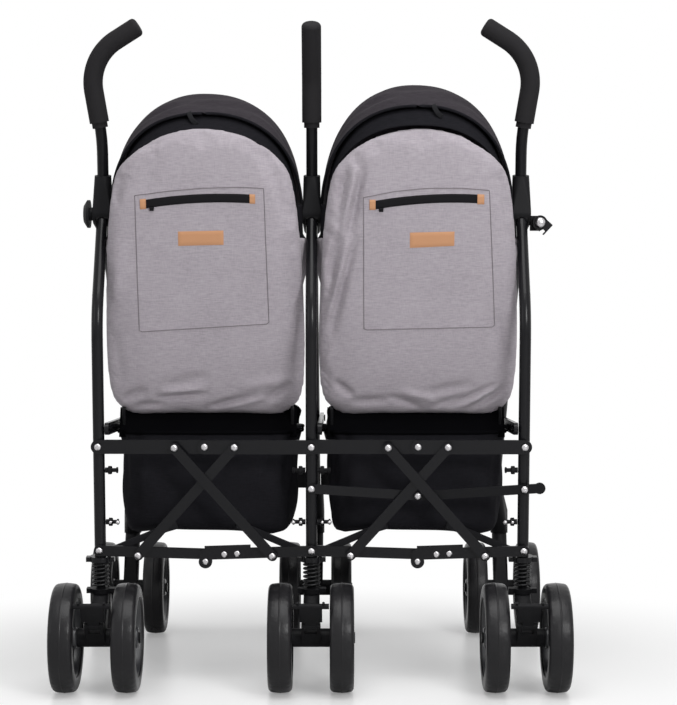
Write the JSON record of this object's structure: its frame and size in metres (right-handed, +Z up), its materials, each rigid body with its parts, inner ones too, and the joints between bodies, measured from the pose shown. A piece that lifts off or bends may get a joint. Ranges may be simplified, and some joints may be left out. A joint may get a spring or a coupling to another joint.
{
  "type": "double stroller",
  "caption": "Side by side double stroller with an umbrella fold, twin-wheel casters, sprung rear legs, reclining seats, hoods and baskets.",
  "frame": {"origin": "on the floor, midway between the axles, in the plane of the middle frame", "axes": "+Z up, +Y the way it travels, +X to the pusher's right"},
  "size_m": [0.7806, 0.75, 0.9926],
  "materials": {
    "frame_paint": "satin powder coat",
    "black_plastic": "matte",
    "grip_foam": "matte foam",
    "steel": "plated",
    "tyre": "matte foam",
    "grey_fabric": "heather weave",
    "black_fabric": "plain weave"
  },
  "bodies": {
    "centre_frame": {"centre_main_tube": "frame_paint", "centre_grip": "grip_foam", "centre_frame_mouldings": "black_plastic", "seat_slings": "grey_fabric", "baskets": "black_fabric"},
    "left_frame": {"left_main_tube": "frame_paint", "left_grip": "grip_foam", "left_frame_mouldings": "black_plastic"},
    "right_frame": {"right_main_tube": "frame_paint", "right_grip": "grip_foam", "right_frame_mouldings": "black_plastic"},
    "left_leg": {"left_rear_leg": "frame_paint"},
    "left_carrier": {"left_wheel_carrier": "black_plastic", "left_spring": "steel"},
    "left_brake": {"left_brake_pedal": "black_plastic"},
    "left_caster": {"left_caster_fork": "black_plastic"},
    "left_rail": {"left_seat_rail": "frame_paint"},
    "left_rear_wheel_left": {"left_rear_wheel_left": "tyre"},
    "left_rear_wheel_right": {"left_rear_wheel_right": "tyre"},
    "left_front_wheel_left": {"left_front_wheel_left": "tyre"},
    "left_front_wheel_right": {"left_front_wheel_right": "tyre"},
    "centre_leg": {"centre_rear_leg": "frame_paint"},
    "centre_carrier": {"centre_wheel_carrier": "black_plastic", "centre_spring": "steel"},
    "centre_brake": {"centre_brake_pedal": "black_plastic"},
    "centre_caster": {"centre_caster_fork": "black_plastic"},
    "centre_rail": {"centre_seat_rail": "frame_paint"},
    "centre_rear_wheel_left": {"centre_rear_wheel_left": "tyre"},
    "centre_rear_wheel_right": {"centre_rear_wheel_right": "tyre"},
    "centre_front_wheel_left": {"centre_front_wheel_left": "tyre"},
    "centre_front_wheel_right": {"centre_front_wheel_right": "tyre"},
    "right_leg": {"right_rear_leg": "frame_paint"},
    "right_carrier": {"right_wheel_carrier": "black_plastic", "right_spring": "steel"},
    "right_brake": {"right_brake_pedal": "black_plastic"},
    "right_caster": {"right_caster_fork": "black_plastic"},
    "right_rail": {"right_seat_rail": "frame_paint"},
    "right_rear_wheel_left": {"right_rear_wheel_left": "tyre"},
    "right_rear_wheel_right": {"right_rear_wheel_right": "tyre"},
    "right_front_wheel_left": {"right_front_wheel_left": "tyre"},
    "right_front_wheel_right": {"right_front_wheel_right": "tyre"},
    "left_upper_bar_left": {"left_upper_bar_left": "frame_paint"},
    "left_upper_bar_right": {"left_upper_bar_right": "frame_paint"},
    "left_lower_bar_left": {"left_lower_bar_left": "frame_paint"},
    "left_lower_bar_right": {"left_lower_bar_right": "frame_paint"},
    "left_scissor_rising": {"left_scissor_rising": "frame_paint"},
    "left_scissor_falling": {"left_scissor_falling": "frame_paint"},
    "left_backrest": {"left_backrest": "grey_fabric"},
    "left_hood": {"left_hood": "black_fabric"},
    "right_upper_bar_left": {"right_upper_bar_left": "frame_paint"},
    "right_upper_bar_right": {"right_upper_bar_right": "frame_paint"},
    "right_lower_bar_left": {"right_lower_bar_left": "frame_paint"},
    "right_lower_bar_right": {"right_lower_bar_right": "frame_paint"},
    "right_scissor_rising": {"right_scissor_rising": "frame_paint"},
    "right_scissor_falling": {"right_scissor_falling": "frame_paint"},
    "right_backrest": {"right_backrest": "grey_fabric"},
    "right_hood": {"right_hood": "black_fabric"},
    "transport_hook": {"transport_hook": "black_plastic"},
    "toggle_link": {"toggle_link": "frame_paint"},
    "release_lever": {"release_lever": "black_plastic"}
  },
  "joints": [
    {"name": "fold", "type": "hinge", "parent": "centre_frame", "child": "centre_leg", "pos_m": [0, -0.225, 0.705], "axis": [1, 0, 0], "range_deg": [0, 40], "deforming": ["seat_slings", "baskets", "left_backrest", "right_backrest", "left_hood", "right_hood"]},
    {"name": "left_fold", "type": "hinge", "parent": "left_frame", "child": "left_leg", "pos_m": [-0.314, -0.225, 0.705], "axis": [1, 0, 0], "range_deg": [0, 40.5]},
    {"name": "left_close", "type": "slide", "parent": "centre_frame", "child": "left_frame", "axis": [1, 0, 0], "range_m": [0, 0.1635]},
    {"name": "right_fold", "type": "hinge", "parent": "right_frame", "child": "right_leg", "pos_m": [0.314, -0.225, 0.705], "axis": [1, 0, 0], "range_deg": [0, 40.5]},
    {"name": "right_close", "type": "slide", "parent": "centre_frame", "child": "right_frame", "axis": [-1, 0, 0], "range_m": [0, 0.1635]},
    {"name": "left_rail_turn", "type": "hinge", "parent": "left_frame", "child": "left_rail", "pos_m": [-0.3015, 0.13853, 0.385], "axis": [1, 0, 0], "range_deg": [-34.9, 0]},
    {"name": "centre_rail_turn", "type": "hinge", "parent": "centre_frame", "child": "centre_rail", "pos_m": [0.0125, 0.13853, 0.385], "axis": [1, 0, 0], "range_deg": [-34.9, 0]},
    {"name": "right_rail_turn", "type": "hinge", "parent": "right_frame", "child": "right_rail", "pos_m": [0.3015, 0.13853, 0.385], "axis": [1, 0, 0], "range_deg": [-34.9, 0]},
    {"name": "left_upper_bar_left_turn", "type": "hinge", "parent": "left_leg", "child": "left_upper_bar_left", "pos_m": [-0.314, -0.27157, 0.36025], "axis": [0, -0.9919, -0.1271], "range_deg": [0, 61.54]},
    {"name": "left_upper_bar_right_turn", "type": "hinge", "parent": "centre_leg", "child": "left_upper_bar_right", "pos_m": [0, -0.27157, 0.36025], "axis": [0, 0.9919, 0.1271], "range_deg": [0, 61.54]},
    {"name": "left_lower_bar_left_turn", "type": "hinge", "parent": "left_leg", "child": "left_lower_bar_left", "pos_m": [-0.314, -0.25175, 0.20551], "axis": [0, -0.9919, -0.1271], "range_deg": [0, 67.53]},
    {"name": "left_lower_bar_right_turn", "type": "hinge", "parent": "centre_leg", "child": "left_lower_bar_right", "pos_m": [0, -0.25175, 0.20551], "axis": [0, 0.9919, 0.1271], "range_deg": [0, 67.53]},
    {"name": "left_scissor_rising_turn", "type": "hinge", "parent": "left_lower_bar_left", "child": "left_scissor_rising", "pos_m": [-0.2563, -0.251, 0.19968], "axis": [0, -0.9919, -0.1271], "range_deg": [-44.8, 0]},
    {"name": "left_scissor_falling_turn", "type": "hinge", "parent": "left_lower_bar_right", "child": "left_scissor_falling", "pos_m": [-0.0577, -0.251, 0.19968], "axis": [0, 0.9919, 0.1271], "range_deg": [-44.8, 0]},
    {"name": "right_upper_bar_left_turn", "type": "hinge", "parent": "centre_leg", "child": "right_upper_bar_left", "pos_m": [0, -0.27157, 0.36025], "axis": [0, -0.9919, -0.1271], "range_deg": [0, 61.54]},
    {"name": "right_upper_bar_right_turn", "type": "hinge", "parent": "right_leg", "child": "right_upper_bar_right", "pos_m": [0.314, -0.27157, 0.36025], "axis": [0, 0.9919, 0.1271], "range_deg": [0, 61.54]},
    {"name": "right_lower_bar_left_turn", "type": "hinge", "parent": "centre_leg", "child": "right_lower_bar_left", "pos_m": [0, -0.25175, 0.20551], "axis": [0, -0.9919, -0.1271], "range_deg": [0, 67.53]},
    {"name": "right_lower_bar_right_turn", "type": "hinge", "parent": "right_leg", "child": "right_lower_bar_right", "pos_m": [0.314, -0.25175, 0.20551], "axis": [0, 0.9919, 0.1271], "range_deg": [0, 67.53]},
    {"name": "right_scissor_rising_turn", "type": "hinge", "parent": "right_lower_bar_left", "child": "right_scissor_rising", "pos_m": [0.0577, -0.251, 0.19968], "axis": [0, -0.9919, -0.1271], "range_deg": [-44.8, 0]},
    {"name": "right_scissor_falling_turn", "type": "hinge", "parent": "right_lower_bar_right", "child": "right_scissor_falling", "pos_m": [0.2563, -0.251, 0.19968], "axis": [0, 0.9919, 0.1271], "range_deg": [-44.8, 0]},
    {"name": "toggle_turn", "type": "hinge", "parent": "centre_leg", "child": "toggle_link", "pos_m": [0, -0.26357, 0.29776], "axis": [0, -0.9919, -0.1271], "range_deg": [0, 65.3]},
    {"name": "lever_turn", "type": "hinge", "parent": "right_leg", "child": "release_lever", "pos_m": [0.314, -0.26357, 0.29776], "axis": [0, 0.9919, 0.1271], "range_deg": [0, 65.3]},
    {"name": "left_suspension", "type": "slide", "parent": "left_leg", "child": "left_carrier", "axis": [0, -0.1271, 0.9919], "range_m": [0, 0.012], "stiffness_N_per_m": 6000, "springref_m": -0.008, "deforming": ["left_spring"]},
    {"name": "left_brake_press", "type": "hinge", "parent": "left_carrier", "child": "left_brake", "pos_m": [-0.314, -0.32806, 0.10198], "axis": [1, 0, 0], "range_deg": [0, 20]},
    {"name": "left_rear_spin_left", "type": "hinge", "parent": "left_carrier", "child": "left_rear_wheel_left", "pos_m": [-0.359, -0.295, 0.08], "axis": [1, 0, 0], "continuous": true},
    {"name": "left_rear_spin_right", "type": "hinge", "parent": "left_carrier", "child": "left_rear_wheel_right", "pos_m": [-0.269, -0.295, 0.08], "axis": [1, 0, 0], "continuous": true},
    {"name": "left_swivel", "type": "hinge", "parent": "left_frame", "child": "left_caster", "pos_m": [-0.326, 0.33, 0.166], "axis": [0, 0, 1], "continuous": true},
    {"name": "left_front_spin_left", "type": "hinge", "parent": "left_caster", "child": "left_front_wheel_left", "pos_m": [-0.371, 0.295, 0.08], "axis": [1, 0, 0], "continuous": true},
    {"name": "left_front_spin_right", "type": "hinge", "parent": "left_caster", "child": "left_front_wheel_right", "pos_m": [-0.281, 0.295, 0.08], "axis": [1, 0, 0], "continuous": true},
    {"name": "centre_suspension", "type": "slide", "parent": "centre_leg", "child": "centre_carrier", "axis": [0, -0.1271, 0.9919], "range_m": [0, 0.012], "stiffness_N_per_m": 6000, "springref_m": -0.008, "deforming": ["centre_spring"]},
    {"name": "centre_brake_press", "type": "hinge", "parent": "centre_carrier", "child": "centre_brake", "pos_m": [0, -0.32806, 0.10198], "axis": [1, 0, 0], "range_deg": [0, 20]},
    {"name": "centre_rear_spin_left", "type": "hinge", "parent": "centre_carrier", "child": "centre_rear_wheel_left", "pos_m": [-0.045, -0.295, 0.08], "axis": [1, 0, 0], "continuous": true},
    {"name": "centre_rear_spin_right", "type": "hinge", "parent": "centre_carrier", "child": "centre_rear_wheel_right", "pos_m": [0.045, -0.295, 0.08], "axis": [1, 0, 0], "continuous": true},
    {"name": "centre_swivel", "type": "hinge", "parent": "centre_frame", "child": "centre_caster", "pos_m": [0, 0.33, 0.166], "axis": [0, 0, 1], "continuous": true},
    {"name": "centre_front_spin_left", "type": "hinge", "parent": "centre_caster", "child": "centre_front_wheel_left", "pos_m": [-0.045, 0.295, 0.08], "axis": [1, 0, 0], "continuous": true},
    {"name": "centre_front_spin_right", "type": "hinge", "parent": "centre_caster", "child": "centre_front_wheel_right", "pos_m": [0.045, 0.295, 0.08], "axis": [1, 0, 0], "continuous": true},
    {"name": "right_suspension", "type": "slide", "parent": "right_leg", "child": "right_carrier", "axis": [0, -0.1271, 0.9919], "range_m": [0, 0.012], "stiffness_N_per_m": 6000, "springref_m": -0.008, "deforming": ["right_spring"]},
    {"name": "right_brake_press", "type": "hinge", "parent": "right_carrier", "child": "right_brake", "pos_m": [0.314, -0.32806, 0.10198], "axis": [1, 0, 0], "range_deg": [0, 20]},
    {"name": "right_rear_spin_left", "type": "hinge", "parent": "right_carrier", "child": "right_rear_wheel_left", "pos_m": [0.269, -0.295, 0.08], "axis": [1, 0, 0], "continuous": true},
    {"name": "right_rear_spin_right", "type": "hinge", "parent": "right_carrier", "child": "right_rear_wheel_right", "pos_m": [0.359, -0.295, 0.08], "axis": [1, 0, 0], "continuous": true},
    {"name": "right_swivel", "type": "hinge", "parent": "right_frame", "child": "right_caster", "pos_m": [0.326, 0.33, 0.166], "axis": [0, 0, 1], "continuous": true},
    {"name": "right_front_spin_left", "type": "hinge", "parent": "right_caster", "child": "right_front_wheel_left", "pos_m": [0.281, 0.295, 0.08], "axis": [1, 0, 0], "continuous": true},
    {"name": "right_front_spin_right", "type": "hinge", "parent": "right_caster", "child": "right_front_wheel_right", "pos_m": [0.371, 0.295, 0.08], "axis": [1, 0, 0], "continuous": true},
    {"name": "left_recline", "type": "hinge", "parent": "centre_frame", "child": "left_backrest", "pos_m": [-0.157, -0.196, 0.385], "axis": [-1, 0, 0], "range_deg": [-35, 0]},
    {"name": "left_hood_swing", "type": "hinge", "parent": "centre_frame", "child": "left_hood", "pos_m": [-0.157, -0.225, 0.705], "axis": [-1, 0, 0], "range_deg": [-70, 0], "deforming": ["left_hood"]},
    {"name": "right_recline", "type": "hinge", "parent": "centre_frame", "child": "right_backrest", "pos_m": [0.157, -0.196, 0.385], "axis": [-1, 0, 0], "range_deg": [-35, 0]},
    {"name": "right_hood_swing", "type": "hinge", "parent": "centre_frame", "child": "right_hood", "pos_m": [0.157, -0.225, 0.705], "axis": [-1, 0, 0], "range_deg": [-70, 0], "deforming": ["right_hood"]},
    {"name": "hook_swing", "type": "hinge", "parent": "right_frame", "child": "transport_hook", "pos_m": [0.3405, -0.2403, 0.691], "axis": [0, 1, 0], "range_deg": [0, 80]}
  ],
  "couplings": [
    {"joint": "left_fold", "follows": "fold", "ratio": 1},
    {"joint": "left_close", "follows": "fold", "m_per_rad": 0.23205},
    {"joint": "right_fold", "follows": "fold", "ratio": 1},
    {"joint": "right_close", "follows": "fold", "m_per_rad": 0.23205},
    {"joint": "left_rail_turn", "follows": "fold", "ratio": -0.8625},
    {"joint": "centre_rail_turn", "follows": "fold", "ratio": -0.8625},
    {"joint": "right_rail_turn", "follows": "fold", "ratio": -0.8625},
    {"joint": "left_upper_bar_left_turn", "follows": "fold", "ratio": 1.526},
    {"joint": "left_upper_bar_right_turn", "follows": "fold", "ratio": 1.526},
    {"joint": "left_lower_bar_left_turn", "follows": "fold", "ratio": 1.6758},
    {"joint": "left_lower_bar_right_turn", "follows": "fold", "ratio": 1.6758},
    {"joint": "left_scissor_rising_turn", "follows": "fold", "ratio": -1.107},
    {"joint": "left_scissor_falling_turn", "follows": "fold", "ratio": -1.107},
    {"joint": "right_upper_bar_left_turn", "follows": "fold", "ratio": 1.526},
    {"joint": "right_upper_bar_right_turn", "follows": "fold", "ratio": 1.526},
    {"joint": "right_lower_bar_left_turn", "follows": "fold", "ratio": 1.6758},
    {"joint": "right_lower_bar_right_turn", "follows": "fold", "ratio": 1.6758},
    {"joint": "right_scissor_rising_turn", "follows": "fold", "ratio": -1.107},
    {"joint": "right_scissor_falling_turn", "follows": "fold", "ratio": -1.107},
    {"joint": "toggle_turn", "follows": "fold", "ratio": 1.619},
    {"joint": "lever_turn", "follows": "fold", "ratio": 1.619}
  ]
}
